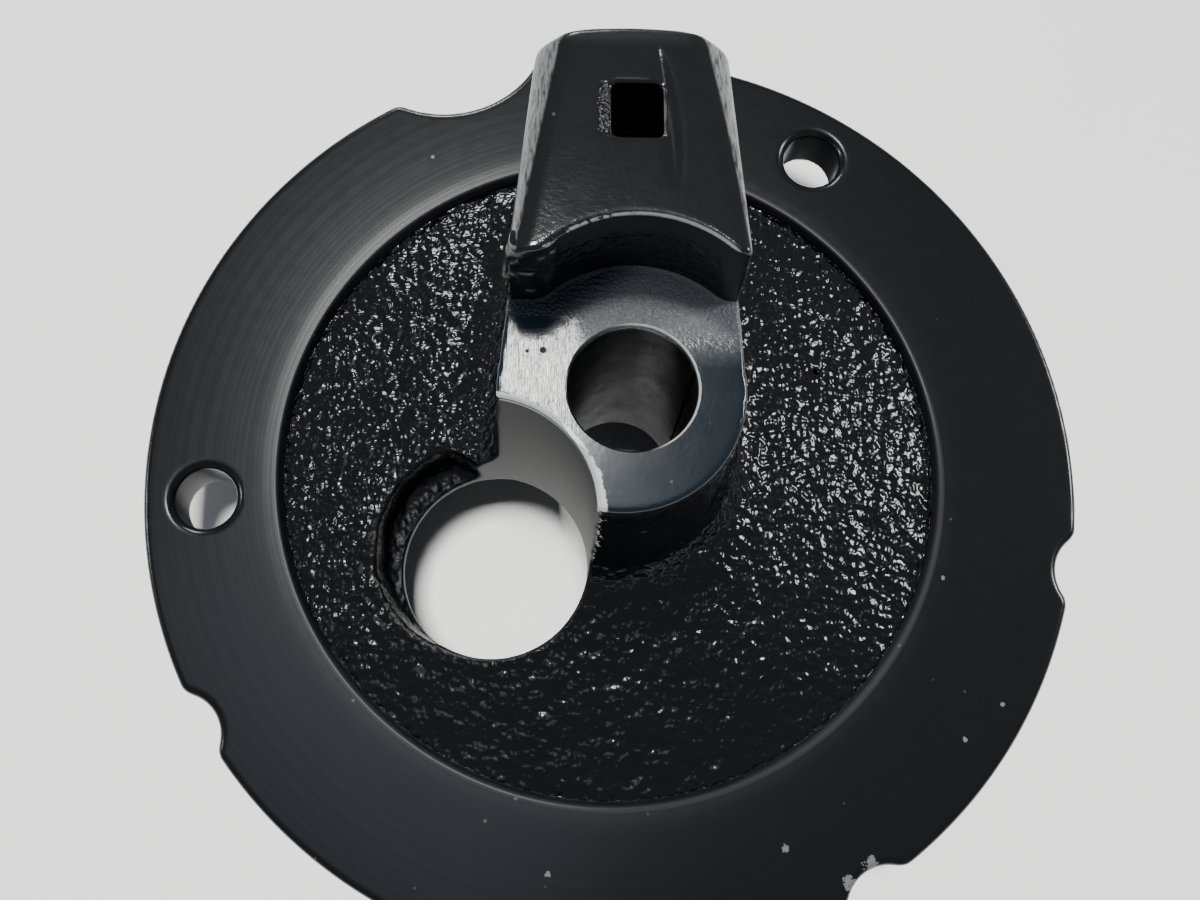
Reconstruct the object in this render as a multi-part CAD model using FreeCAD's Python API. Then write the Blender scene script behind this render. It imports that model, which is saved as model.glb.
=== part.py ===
import FreeCAD, Part
import math
import os

from FreeCAD import Vector

# Bobbin case of a heavy sewing machine: one iron casting with a pressed-in hub bush and a thread
# tension set on the wall of its rear cup. Millimetres. +Z points out of the front. The origin is
# on the bore axis, level with the machined front face of the flange. The arm points along +Y.

# ---- driving dimensions ----
FLANGE_R = 40.0
FLANGE_T = 5.1
FLANGE_EDGE = 0.5

# rough cast recess in the front of the flange, slightly out of centre as cast
RECESS_R = 28.7
RECESS_CENTRE = Vector(-0.4, 0.4, 0)
RECESS_DEPTH = 0.8
RECESS_WALL_RUN = 0.5
RECESS_LIP_RUN = 0.25
RECESS_LIP_DROP = 0.3
WEB_RISE = 3.9
WEB_THICK = 4.9

# hub and arm: one block with drafted sides, round at the hub end and narrower at the arm end
HUB_CENTRE = Vector(-0.75, -0.15, 0)
HUB_R = 8.6
HUB_FACE_Z = 22.2
ARM_TOP_Z = 30.4
ARM_END_Y = 22.8
ARM_END_BULGE = 0.8
LEFT_FLANK_DEG = 6.2
RIGHT_FLANK_DEG = 3.6
DRAFT = 0.03
SKIRT_TOP_Z = 7.0
SKIRT_SPREAD = 3.6
HUB_EDGE = 0.7
SPOT_FACE_R = 8.9
SPOT_FACE_END_Y = 6.3

BORE_R = 4.5
BUSH_WALL = 0.5
BUSH_SEAM = 0.3
BUSH_SEAM_DEG = 16.0

# ground bevels along both top edges of the arm, wider at the arm's end: distances of each bevel's
# inner edge from the arm's middle line at both ends, and the slope as a run and a drop
ARM_MIDDLE_X = -0.3
BEVEL_NEAR_Y = 7.0
BEVEL_NEAR_HALF = 7.5
BEVEL_END_HALF = 4.5
BEVEL_RUN = 1.9
BEVEL_DROP = 1.7

# square socket in the top of the arm
SOCKET_CENTRE = Vector(-0.1, 16.35, 0)
SOCKET_X = 3.4
SOCKET_Y = 3.9
SOCKET_DEPTH = 10.0
SOCKET_CORNER = 0.5

# window: one machined cylinder through the hub's side and the web, and the cast pocket beside it
WINDOW_CENTRE = Vector(-10.3, -8.55, 0)
WINDOW_R = 7.85
POCKET_CENTRE = Vector(-11.6, -7.4, 0)
POCKET_TOP_R = 8.9
POCKET_FLOOR_R = 8.0
POCKET_FLOOR_Z = -2.6
POCKET_TOP_Z = 3.0

# two chamfered screw holes in the flange
FLANGE_HOLE_R = 2.6
FLANGE_HOLE_CHAMFER = 0.42
FLANGE_HOLE_PCR = 34.85
FLANGE_HOLE_DEGS = (58.2, 184.8)

# scallops in the rim: azimuth in degrees, scallop radius, smallest radius left on the flange
RIM_SCALLOPS = (
    (110.3, 9.6, 36.7),
    (212.5, 3.5, 38.6),
    (301.0, 3.5, 38.6),
    (347.6, 3.5, 38.6),
)

# rear cup that holds the bobbin
CUP_IN_R = 22.0
CUP_WALL = 4.0
CUP_BACK_Z = -16.0
CUP_EDGE = 0.5

# thread tension set on the +X side of the cup wall
PAD_X = 27.6
PAD_LENGTH = 22.0
PAD_Z_LOW = -15.0
PAD_CORNER = 1.5
SPRING_T = 0.45
SPRING_H = 6.0
SPRING_Z = -10.4
SPRING_START_Y = -9.5
SPRING_END_Y = 8.0
SPRING_LIP = 2.4
SPRING_LIP_RISE = 0.9
SPRING_CORNER = 1.5
ANCHOR_Y = -6.5
ADJUST_Y = 0.0
SLIT_Y = 5.2
SLIT_W = 1.2
SLIT_TOP_Z = -8.5

SCREW_R = 1.25
SCREW_HEAD_R = 2.3
SCREW_HEAD_H = 1.5
SCREW_LENGTH = 4.6
SCREW_SLOT_W = 0.6
SCREW_SLOT_D = 0.7
SCREW_CROWN = 0.35
SCREW_TIP_CHAMFER = 0.25
SCREW_HOLE_SPARE = 0.3
SPRING_HOLE_GAP = 0.25
RUNNING_GAP = 0.05
SCREW_HEAD_GAP = 0.05

# ---- derived places ----
UP = Vector(0, 0, 1)
OUT = Vector(1, 0, 0)
BUSH_R = BORE_R + BUSH_WALL
WEB_SLOPE = WEB_RISE / (RECESS_R - RECESS_WALL_RUN - HUB_R)
HUB_BACK_Z = -RECESS_DEPTH + WEB_RISE - WEB_THICK

# lengths that only make one tool or piece reach past or into another
BITE = 1.0
FAR = 60.0
BEVEL_SLAB = 8.0


def cylinder(radius, low_z, high_z, centre=Vector(0, 0, 0)):
    """Upright cylinder between two heights."""
    base = Vector(centre.x, centre.y, low_z)
    return Part.makeCylinder(radius, high_z - low_z, base, UP)


def box(low, high):
    """Box between two opposite corners."""
    size = high.sub(low)
    return Part.makeBox(size.x, size.y, size.z, low)


def polar(radius, degrees, z=0.0):
    """Point at a radius and an azimuth round the bore axis."""
    angle = math.radians(degrees)
    return Vector(radius * math.cos(angle), radius * math.sin(angle), z)


def along_x(edge):
    """True for a straight edge that runs along X."""
    return edge.BoundBox.XLength > 1 and edge.BoundBox.YLength + edge.BoundBox.ZLength < 1e-3


def revolved(points, centre=Vector(0, 0, 0)):
    """Solid of revolution about an upright axis, from a closed list of (radius, z) points."""
    corners = [Vector(centre.x + r, centre.y, z) for r, z in points]
    face = Part.Face(Part.makePolygon(corners + [corners[0]]))
    return face.revolve(centre, UP, 360)


def web_front_z(radius):
    """Height of the cast web's front at a radius: it rises as a flat cone towards the hub."""
    return -RECESS_DEPTH + WEB_SLOPE * (RECESS_R - RECESS_WALL_RUN - radius)


def flange():
    """Notched flange ring with rounded rim, open inside the recess."""
    disc = cylinder(FLANGE_R, -FLANGE_T, 0)
    for degrees, radius, least_r in RIM_SCALLOPS:
        disc = disc.cut(cylinder(radius, -FLANGE_T - BITE, BITE, polar(least_r + radius, degrees)))
    rim_edges = [e for e in disc.Edges if abs(e.BoundBox.ZLength) < 1e-6]
    disc = disc.makeFillet(FLANGE_EDGE, rim_edges)
    return disc.cut(cylinder(RECESS_R, -FLANGE_T - BITE, BITE, RECESS_CENTRE))


def web():
    """Coned web: its front is the floor of the recess, its back is the roof of the cup."""
    floor_r = RECESS_R - RECESS_WALL_RUN
    profile = [
        (0, web_front_z(0)),
        (floor_r, web_front_z(floor_r)),
        (RECESS_R - RECESS_LIP_RUN, -RECESS_LIP_DROP),
        (RECESS_R, 0),
        (RECESS_R, -FLANGE_T),
        (CUP_IN_R - BITE, -FLANGE_T),
        (CUP_IN_R - BITE, web_front_z(CUP_IN_R) - WEB_THICK),
        (HUB_R, HUB_BACK_Z),
        (0, HUB_BACK_Z),
    ]
    return revolved(profile, RECESS_CENTRE)


def block_outline(z, grow):
    """Plan outline of the hub and arm block: hub arc, two flanks and the bulged arm end."""
    radius = HUB_R + grow
    left = math.radians(LEFT_FLANK_DEG)
    right = math.radians(RIGHT_FLANK_DEG)
    left_hub = HUB_CENTRE + Vector(-radius * math.cos(left), radius * math.sin(left), z)
    right_hub = HUB_CENTRE + Vector(radius * math.cos(right), radius * math.sin(right), z)
    corner_y = ARM_END_Y - ARM_END_BULGE + grow
    left_end = left_hub + Vector(math.tan(left), 1, 0) * (corner_y - left_hub.y)
    right_end = right_hub + Vector(-math.tan(right), 1, 0) * (corner_y - right_hub.y)
    end_middle = Vector((left_end.x + right_end.x) / 2, ARM_END_Y + grow, z)
    hub_bottom = HUB_CENTRE + Vector(0, -radius, z)
    edges = [
        Part.LineSegment(left_end, left_hub).toShape(),
        Part.Arc(left_hub, hub_bottom, right_hub).toShape(),
        Part.LineSegment(right_hub, right_end).toShape(),
        Part.Arc(right_end, end_middle, left_end).toShape(),
    ]
    return Part.Wire(edges)


def block(low_z, high_z, spread=0.0):
    """Drafted block between two heights, its foot spread outwards where it blends into the web."""
    low_grow = DRAFT * (HUB_FACE_Z - low_z) + spread
    high_grow = DRAFT * (HUB_FACE_Z - high_z)
    return Part.makeLoft([block_outline(low_z, low_grow), block_outline(high_z, high_grow)], True, True)


def bevel_tool(side):
    """Slab outside the long plane ground on one top edge of the arm; side is -1 left or +1 right."""
    near = Vector(ARM_MIDDLE_X + side * BEVEL_NEAR_HALF, BEVEL_NEAR_Y, ARM_TOP_Z)
    far = Vector(ARM_MIDDLE_X + side * BEVEL_END_HALF, ARM_END_Y, ARM_TOP_Z)
    along = (far - near) * 0.2
    fall = Vector(side * BEVEL_RUN, 0, -BEVEL_DROP) * 2
    corners = [near - along - fall, far + along - fall, far + along + fall, near - along + fall]
    face = Part.Face(Part.makePolygon(corners + [corners[0]]))
    outward = fall.cross(along) * side
    return face.extrude(outward.normalize() * BEVEL_SLAB)


def hub_and_arm():
    """Hub and arm block with its cast skirt, spot-faced step and ground bevels."""
    solid = block(HUB_BACK_Z, ARM_TOP_Z)
    solid = solid.fuse(block(HUB_BACK_Z, SKIRT_TOP_Z, SKIRT_SPREAD))
    solid = solid.cut(cylinder(SPOT_FACE_R, HUB_FACE_Z, FAR))
    step = box(Vector(-FAR, -FAR, HUB_FACE_Z), Vector(FAR, SPOT_FACE_END_Y, FAR))
    solid = solid.cut(step)
    for side in (-1, 1):
        solid = solid.cut(bevel_tool(side))
    hub_rim = [
        e for e in solid.Edges
        if abs(e.BoundBox.ZMin - HUB_FACE_Z) < 1e-3 and abs(e.BoundBox.ZMax - HUB_FACE_Z) < 1e-3
        and e.CenterOfMass.y < 0
    ]
    return solid.makeFillet(HUB_EDGE, hub_rim)


def cup_wall():
    """Round wall of the rear cup with the flat pad of the thread tension set."""
    wall = cylinder(CUP_IN_R + CUP_WALL, CUP_BACK_Z, -FLANGE_T + BITE)
    half = PAD_LENGTH / 2
    pad = box(Vector(0, -half, PAD_Z_LOW), Vector(PAD_X, half, -FLANGE_T + BITE))
    upright = [
        e for e in pad.Edges
        if e.BoundBox.ZLength > 1 and abs(e.CenterOfMass.x - PAD_X) < 1e-6
    ]
    pad = pad.makeFillet(PAD_CORNER, upright)
    wall = wall.fuse(pad)
    wall = wall.cut(cylinder(CUP_IN_R, CUP_BACK_Z - BITE, FAR))
    back_edges = [
        e for e in wall.Edges
        if abs(e.CenterOfMass.z - CUP_BACK_Z) < 1e-6 and abs(e.BoundBox.ZLength) < 1e-6
    ]
    return wall.makeFillet(CUP_EDGE, back_edges)


def window_tools():
    """Machined window cylinder and the tapered cast pocket beside it."""
    window = cylinder(WINDOW_R, CUP_BACK_Z - BITE, FAR, WINDOW_CENTRE)
    base = Vector(POCKET_CENTRE.x, POCKET_CENTRE.y, POCKET_FLOOR_Z)
    pocket = Part.makeCone(POCKET_FLOOR_R, POCKET_TOP_R, POCKET_TOP_Z - POCKET_FLOOR_Z, base, UP)
    return [window, pocket]


def flange_hole_tools():
    """Through holes with a chamfered front mouth."""
    tools = []
    for degrees in FLANGE_HOLE_DEGS:
        place = polar(FLANGE_HOLE_PCR, degrees)
        tools.append(cylinder(FLANGE_HOLE_R, -FLANGE_T - BITE, BITE, place))
        base = Vector(place.x, place.y, -FLANGE_HOLE_CHAMFER)
        mouth_r = FLANGE_HOLE_R + FLANGE_HOLE_CHAMFER
        tools.append(Part.makeCone(FLANGE_HOLE_R, mouth_r, FLANGE_HOLE_CHAMFER, base, UP))
    return tools


def socket_tool():
    """Square socket in the top of the arm, with small corner radii."""
    half = Vector(SOCKET_X / 2, SOCKET_Y / 2, 0)
    low = SOCKET_CENTRE.sub(half) + UP * (ARM_TOP_Z - SOCKET_DEPTH)
    high = SOCKET_CENTRE.add(half) + UP * (ARM_TOP_Z + BITE)
    tool = box(low, high)
    upright = [e for e in tool.Edges if e.BoundBox.ZLength > 1]
    return tool.makeFillet(SOCKET_CORNER, upright)


def screw_hole(y, radius):
    """Blind hole into the pad for one of the tension set's screws."""
    depth = SCREW_LENGTH - SPRING_T + SCREW_HOLE_SPARE
    return Part.makeCylinder(radius, depth + BITE, Vector(PAD_X - depth, y, SPRING_Z), OUT)


def thread_slit():
    """Slit through the cup wall from its back edge, where the bobbin's thread leaves."""
    half = SLIT_W / 2
    low = Vector(CUP_IN_R - CUP_WALL, SLIT_Y - half, CUP_BACK_Z - BITE)
    high = Vector(PAD_X + BITE, SLIT_Y + half, SLIT_TOP_Z - half)
    slot = box(low, high)
    end = Part.makeCylinder(half, high.x - low.x, Vector(low.x, SLIT_Y, SLIT_TOP_Z - half), OUT)
    return slot.fuse(end)


def case_body():
    """The whole casting."""
    solid = flange().fuse([web(), cup_wall()])
    solid = solid.fuse(hub_and_arm())
    for tool in window_tools() + flange_hole_tools():
        solid = solid.cut(tool)
    solid = solid.cut(cylinder(BUSH_R, HUB_BACK_Z - BITE, FAR))
    solid = solid.cut(socket_tool())
    solid = solid.cut(screw_hole(ANCHOR_Y, SCREW_R))
    solid = solid.cut(screw_hole(ADJUST_Y, SCREW_R + RUNNING_GAP))
    solid = solid.cut(thread_slit())
    return solid.removeSplitter()


def hub_bush():
    """Thin wrapped bush, flush with the hub face, with its lengthwise seam."""
    tube = cylinder(BUSH_R, HUB_BACK_Z, HUB_FACE_Z).cut(cylinder(BORE_R, HUB_BACK_Z, HUB_FACE_Z))
    half = BUSH_SEAM / 2
    seam = box(Vector(0, -half, HUB_BACK_Z - BITE), Vector(FAR, half, HUB_FACE_Z + BITE))
    seam.rotate(Vector(0, 0, 0), UP, BUSH_SEAM_DEG)
    return tube.cut(seam)


def tension_spring():
    """Leaf spring: flat on the pad, lifted lip at its free end, holes for the two screws."""
    lift_y = SPRING_END_Y + SPRING_LIP
    profile = [
        Vector(PAD_X, SPRING_START_Y, 0),
        Vector(PAD_X, SPRING_END_Y, 0),
        Vector(PAD_X + SPRING_LIP_RISE, lift_y, 0),
        Vector(PAD_X + SPRING_LIP_RISE + SPRING_T, lift_y, 0),
        Vector(PAD_X + SPRING_T, SPRING_END_Y, 0),
        Vector(PAD_X + SPRING_T, SPRING_START_Y, 0),
    ]
    face = Part.Face(Part.makePolygon(profile + [profile[0]]))
    strip = face.extrude(UP * SPRING_H)
    strip.translate(UP * (SPRING_Z - SPRING_H / 2))
    plan = box(
        Vector(PAD_X - BITE, SPRING_START_Y, SPRING_Z - SPRING_H / 2),
        Vector(FAR, lift_y, SPRING_Z + SPRING_H / 2),
    )
    strip = strip.common(plan.makeFillet(SPRING_CORNER, [e for e in plan.Edges if along_x(e)]))
    for y, radius in ((ANCHOR_Y, SCREW_R), (ADJUST_Y, SCREW_R + SPRING_HOLE_GAP)):
        hole = Part.makeCylinder(radius, FAR, Vector(PAD_X - BITE, y, SPRING_Z), OUT)
        strip = strip.cut(hole)
    return strip


def slotted_screw(y, gap_under_head):
    """Cheese-head screw along X, its head over the spring."""
    seat_x = PAD_X + SPRING_T + gap_under_head
    shank_x = seat_x - SCREW_LENGTH
    shank = Part.makeCylinder(SCREW_R, SCREW_LENGTH, Vector(shank_x, y, SPRING_Z), OUT)
    head = Part.makeCylinder(SCREW_HEAD_R, SCREW_HEAD_H, Vector(seat_x, y, SPRING_Z), OUT)
    crown = [e for e in head.Edges if e.CenterOfMass.x > seat_x + SCREW_HEAD_H - 1e-6]
    head = head.makeFillet(SCREW_CROWN, crown)
    top_x = seat_x + SCREW_HEAD_H
    half = SCREW_SLOT_W / 2
    low = Vector(top_x - SCREW_SLOT_D, y - half, SPRING_Z - SCREW_HEAD_R - BITE)
    high = Vector(top_x + BITE, y + half, SPRING_Z + SCREW_HEAD_R + BITE)
    head = head.cut(box(low, high))
    tip = [e for e in shank.Edges if e.CenterOfMass.x < shank_x + 1e-6]
    shank = shank.makeChamfer(SCREW_TIP_CHAMFER, tip)
    return shank.fuse(head).removeSplitter()


PARTS = {
    "case_body": case_body,
    "hub_bush": hub_bush,
    "tension_spring": tension_spring,
    "tension_screw": lambda: slotted_screw(ADJUST_Y, SCREW_HEAD_GAP),
    "spring_screw": lambda: slotted_screw(ANCHOR_Y, 0.0),
}

os.makedirs("parts", exist_ok=True)
for node, make in PARTS.items():
    shape = make()
    shape.exportStep(f"parts/{node}.step")
    bounds = shape.BoundBox
    print(node, "valid", shape.isValid(), "solids", len(shape.Solids), "volume", round(shape.Volume, 1),
          "box", [round(v, 2) for v in (bounds.XMin, bounds.YMin, bounds.ZMin)],
          [round(v, 2) for v in (bounds.XMax, bounds.YMax, bounds.ZMax)])
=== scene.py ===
import math
from functools import reduce
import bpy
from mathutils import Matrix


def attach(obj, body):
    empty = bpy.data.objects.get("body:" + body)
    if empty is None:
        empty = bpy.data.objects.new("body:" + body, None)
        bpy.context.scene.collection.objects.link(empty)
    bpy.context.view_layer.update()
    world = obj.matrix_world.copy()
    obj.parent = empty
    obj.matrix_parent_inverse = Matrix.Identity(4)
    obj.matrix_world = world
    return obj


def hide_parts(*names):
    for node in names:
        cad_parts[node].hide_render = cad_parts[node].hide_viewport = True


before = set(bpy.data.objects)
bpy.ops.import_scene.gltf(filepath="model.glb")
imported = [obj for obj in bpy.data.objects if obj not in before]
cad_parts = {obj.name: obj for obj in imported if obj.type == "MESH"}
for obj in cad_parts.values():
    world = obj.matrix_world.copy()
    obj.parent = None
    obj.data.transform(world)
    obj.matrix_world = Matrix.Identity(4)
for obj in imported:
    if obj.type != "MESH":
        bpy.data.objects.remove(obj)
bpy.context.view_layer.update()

from types import SimpleNamespace

import bpy
import numpy as np
import openvdb
from mathutils import Matrix, Vector

# Looks of the bobbin case. The casting is one distance field in millimetres, meshed and shown in
# place of the CAD node. Two turned edges, which are open sheets, are laid over its jagged ones: the
# mouth of the bore, and the recess's inner edge, which has a hidden trench in the field under it.
# Dimensions are the CAD model's, with four differences: the recess's inner edge is rounded, the
# pocket stops at the hub's ledge and leaves some of the web under it, the hub's foot is a soft
# blend, and so is the corner of the web and the cup. The bush is a liner with its seam. The spring
# and the screws keep their CAD meshes. Blender's own unit is the metre.

MM = 0.001
VOXEL = 0.25
BAND = 3 * VOXEL
GRID_LOW, GRID_HIGH = (-41.2, -41.2, -17.0), (41.2, 41.2, 31.8)
ABOVE_ARM = 31.6

# ---- dimensions of the casting, in mm ----
FLANGE_R, FLANGE_T, FLANGE_EDGE = 40.0, 5.1, 0.5
RECESS_R, RECESS_DEPTH, RECESS_WALL_RUN = 28.7, 0.8, 0.5
RECESS_WALL_R, RECESS_LIP = 28.0, 0.7
RECESS_X, RECESS_Y = -0.4, 0.4
WEB_RISE, WEB_THICK = 3.9, 4.9
HUB_X, HUB_Y, HUB_R = -0.75, -0.15, 8.6
HUB_FACE_Z, HUB_BACK_Z, ARM_TOP_Z = 22.2, -1.8, 30.4
ARM_MIDDLE_X, ARM_END_Y, ARM_END_ARC_R = -0.3, 22.8, 28.4
LEFT_FLANK, RIGHT_FLANK = math.radians(6.2), math.radians(3.6)
DRAFT = 0.03
BEVEL_NEAR_Y, BEVEL_NEAR_HALF, BEVEL_END_HALF, BEVEL_RUN, BEVEL_DROP = 7.0, 7.5, 4.5, 1.9, 1.7
SPOT_FACE_R, SPOT_FACE_END_Y = 8.9, 6.3
BORE_R, BUSH_R, BUSH_SEAM, BUSH_SEAM_DEG = 4.5, 5.0, 0.3, 16.0
SOCKET_X, SOCKET_Y, SOCKET_W, SOCKET_L, SOCKET_DEPTH = -0.1, 16.35, 3.4, 3.9, 10.0
WINDOW_X, WINDOW_Y, WINDOW_R = -10.3, -8.55, 7.85
POCKET_X, POCKET_Y, POCKET_TOP_R, POCKET_FLOOR_R = -11.6, -7.4, 8.9, 8.0
POCKET_FLOOR_Z, POCKET_TOP_Z, POCKET_END_SUM, LEAST_WEB = -2.6, 3.0, -12.4, 1.2
HOLE_R, HOLE_CHAMFER, HOLE_PCR, HOLE_DEGS = 2.6, 0.42, 34.85, (58.2, 184.8)
RIM_SCALLOPS = ((110.3, 9.6, 36.7), (212.5, 3.5, 38.6), (301.0, 3.5, 38.6), (347.6, 3.5, 38.6))
CUP_IN_R, CUP_WALL, CUP_BACK_Z, CUP_EDGE = 22.0, 4.0, -16.0, 0.5
PAD_X, PAD_HALF_Y, PAD_Z_LOW, PAD_Z_HIGH, PAD_EDGE = 27.6, 11.0, -15.0, -4.0, 1.2
SPRING_Z, ANCHOR_Y, ADJUST_Y, SCREW_R, SCREW_HOLE_DEPTH = -10.4, -6.5, 0.0, 1.28, 4.4
SLIT_Y, SLIT_W, SLIT_TOP_Z = 5.2, 1.2, -8.5
FLOOR_R = RECESS_R - RECESS_WALL_RUN
WEB_SLOPE = WEB_RISE / (FLOOR_R - HUB_R)
FOOT_BLEND = 4.5

# turned mouth of the bore: its lower end and its rounding; how far turned edges stand off the field
LIP_Z, LIP_EDGE = 21.4, 0.16
EDGE_SKIN = 0.004

# worn scoop beside the socket: where it starts, its length, half width and depth per half width
GOUGE_START_Y, GOUGE_LENGTH, GOUGE_HALF, GOUGE_DEPTH = 10.3, 11.2, 0.55, 0.38

# casting pit in the web, dark pits in the hub's face and chips in the enamel: places and radii
WEB_PIT, WEB_PIT_R = (17.44, 8.51, 0.35), 0.45
FACE_PITS = ((-7.27, 2.52, 0.12), (-6.17, 2.6, 0.22))
CHIPS = ((20.1, -32.4, 1.0), (18.3, -33.8, 0.9), (13.3, -31.2, 0.55), (-16.7, 29.2, 0.35),
         (-5.6, -33.1, 0.4), (31.9, -20.0, 0.35), (28.5, -22.8, 0.35), (27.7, -9.5, 0.3))

# ---- linear colours of the casting ----
ENAMEL_DARK, ENAMEL_LIGHT = (0.0015, 0.002, 0.0026), (0.004, 0.0045, 0.0055)
# The second colour on the next line is painted light: a lighter grey for the hub's face beside the spot
# face's wall, which shades it.
FACE_ENAMEL, FACE_NEAR_WALL_PAINTED_LIGHT = (0.010, 0.018, 0.026), (0.19, 0.20, 0.207)
SATIN_GREY, GROUND_IRON = (0.02, 0.021, 0.021), (0.26, 0.26, 0.255)
# The last colour on the next line is near-white: painted highlights on edges, and worn iron along the
# window painted as bright.
CHIPPED, WORN_EDGE_AND_HIGHLIGHT = (0.22, 0.22, 0.21), (0.85, 0.85, 0.84)

# ---- view, in mm ----
CAMERA_PLACE = (-5.387, -25.346, 100.195)
CAMERA_FORWARD, CAMERA_UP = (0.03846, 0.25853, -0.96524), (-0.00843, 0.96600, 0.25840)
CAMERA_LENS, CAMERA_SENSOR = 36.13, 36.0

# ------------------------------------------------------------------ distance fields


def smooth_max(a, b, k):
    """Larger of two distances, rounded over a width k where they are close."""
    h = np.clip(0.5 + 0.5 * (a - b) / k, 0, 1)
    return b + (a - b) * h + k * h * (1 - h)


def smooth_min(a, b, k):
    """Smaller of two distances, rounded over a width k where they are close."""
    return -smooth_max(-a, -b, k)


def rise(v, low, high):
    """0 below low, 1 above high and smooth between them."""
    t = np.clip((v - low) / (high - low), 0, 1)
    return t * t * (3 - 2 * t)


def polar(radius, degrees):
    """Plan place at a radius and an azimuth."""
    return radius * math.cos(math.radians(degrees)), radius * math.sin(math.radians(degrees))


def rounded_section(u, v, half_u, half_v, edge):
    """Distance to a rectangle with rounded corners, in the plane of u and v."""
    q_u = np.abs(u) - half_u + edge
    q_v = np.abs(v) - half_v + edge
    outside = np.sqrt(np.maximum(q_u, 0) ** 2 + np.maximum(q_v, 0) ** 2)
    return outside + np.minimum(np.maximum(q_u, q_v), 0) - edge


def ring(inner, outer, low, high, edge):
    """Ring of rectangular section with rounded corners."""
    def distance(x, y, z):
        r = np.hypot(x, y)
        return rounded_section(r - (inner + outer) / 2, z - (low + high) / 2,
                               (outer - inner) / 2, (high - low) / 2, edge)
    return distance


def box(low, high, edge):
    """Box between two corners, its upright edges rounded."""
    def distance(x, y, z):
        mid = [(a + b) / 2 for a, b in zip(low, high)]
        half = [(b - a) / 2 for a, b in zip(low, high)]
        plan = rounded_section(x - mid[0], y - mid[1], half[0], half[1], edge)
        return np.maximum(plan, np.abs(z - mid[2]) - half[2])
    return distance


def upright(centre_x, centre_y, radius):
    """Endless upright cylinder."""
    return lambda x, y, z: np.hypot(x - centre_x, y - centre_y) - radius + 0 * z


def recess_radius(x, y):
    """Distance from the recess's own axis."""
    return np.hypot(x - RECESS_X, y - RECESS_Y)


def web_cone(rc):
    """Height of the web's sloping front."""
    return -RECESS_DEPTH + WEB_SLOPE * (FLOOR_R - rc)


def web_front(rc):
    """Height of the web's front: a flat cone that runs out level under the flange."""
    return np.maximum(web_cone(rc), -RECESS_DEPTH)


def web_back(rc):
    """Height of the web's back, level behind the hub and behind the flange."""
    return np.clip(web_cone(rc) - WEB_THICK, -FLANGE_T, HUB_BACK_Z)


def web(x, y, z):
    """Sloping web between the hub and the flange."""
    rc = recess_radius(x, y)
    slab = np.maximum(z - web_front(rc), web_back(rc) - z) * math.cos(math.atan(WEB_SLOPE))
    return np.maximum(slab, rc - RECESS_R - 1.5)


def recess(x, y, z):
    """Recess, and the trench outside it that the turned inner edge covers."""
    return np.maximum(recess_radius(x, y) - RECESS_R - 2.0, -FLANGE_T / 2 - z)


def block_plan(x, y):
    """Plan distance to the hub and arm block at the height of the hub's face."""
    dx, dy = x - HUB_X, y - HUB_Y
    left = -dx * math.cos(LEFT_FLANK) + dy * math.sin(LEFT_FLANK) - HUB_R
    right = dx * math.cos(RIGHT_FLANK) + dy * math.sin(RIGHT_FLANK) - HUB_R
    side = np.where(dy > 0.08 * HUB_R, np.maximum(left, right), np.hypot(dx, dy) - HUB_R)
    end = np.hypot(x - ARM_MIDDLE_X, y - (ARM_END_Y - ARM_END_ARC_R)) - ARM_END_ARC_R
    return smooth_max(side, end, 0.5)


def block_side(x, y, z):
    """Distance to the block's drafted side."""
    return block_plan(x, y) - DRAFT * (HUB_FACE_Z - z)


def block(x, y, z):
    """Drafted hub and arm block, up to the arm's top."""
    return smooth_max(block_side(x, y, z), z - ARM_TOP_Z, 0.5)


def hub_step(x, y, z):
    """What is cut away above the hub's face: the spot face and all in front of it."""
    plan = smooth_min(np.hypot(x, y) - SPOT_FACE_R, y - SPOT_FACE_END_Y, 0.5)
    return smooth_max(HUB_FACE_Z - z, plan, 0.2)


def beyond_bevel(side):
    """Half-space outside the long plane ground on one top edge of the arm."""
    near = np.array((ARM_MIDDLE_X + side * BEVEL_NEAR_HALF, BEVEL_NEAR_Y, ARM_TOP_Z))
    far = np.array((ARM_MIDDLE_X + side * BEVEL_END_HALF, ARM_END_Y, ARM_TOP_Z))
    normal = np.cross(np.array((side * BEVEL_RUN, 0, -BEVEL_DROP)), far - near) * side
    normal /= np.linalg.norm(normal)

    def distance(x, y, z):
        in_plan = (x - near[0]) * normal[0] + (y - near[1]) * normal[1]
        return -(in_plan + (z - near[2]) * normal[2])
    return distance


def pocket(x, y, z):
    """Tapered cast pocket beside the window."""
    share = (z - POCKET_FLOOR_Z) / (POCKET_TOP_Z - POCKET_FLOOR_Z)
    radius = POCKET_FLOOR_R + (POCKET_TOP_R - POCKET_FLOOR_R) * share
    side = np.hypot(x - POCKET_X, y - POCKET_Y) - radius
    beyond_hub_side = (x + y - POCKET_END_SUM) * math.sqrt(0.5)
    floor_z = np.maximum(POCKET_FLOOR_Z, web_back(recess_radius(x, y)) + LEAST_WEB)
    return smooth_max(smooth_max(side, beyond_hub_side, 2.0), floor_z - z, 1.0)


def flange_hole(x0, y0):
    """Through hole with a chamfered front mouth."""
    def distance(x, y, z):
        r = np.hypot(x - x0, y - y0)
        mouth = (r - HOLE_R - HOLE_CHAMFER - z) * math.sqrt(0.5)
        return np.minimum(r - HOLE_R + 0 * z, np.maximum(mouth, -HOLE_CHAMFER - z))
    return distance


def chamber_roof(x, y, z):
    """Room behind the web."""
    return np.maximum(z - web_back(recess_radius(x, y)), np.hypot(x, y) - CUP_IN_R + 0.5)


def chamber(x, y, z):
    """Inside of the cup, up to the flange's back."""
    return np.maximum(np.hypot(x, y) - CUP_IN_R, z + FLANGE_T)


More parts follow.
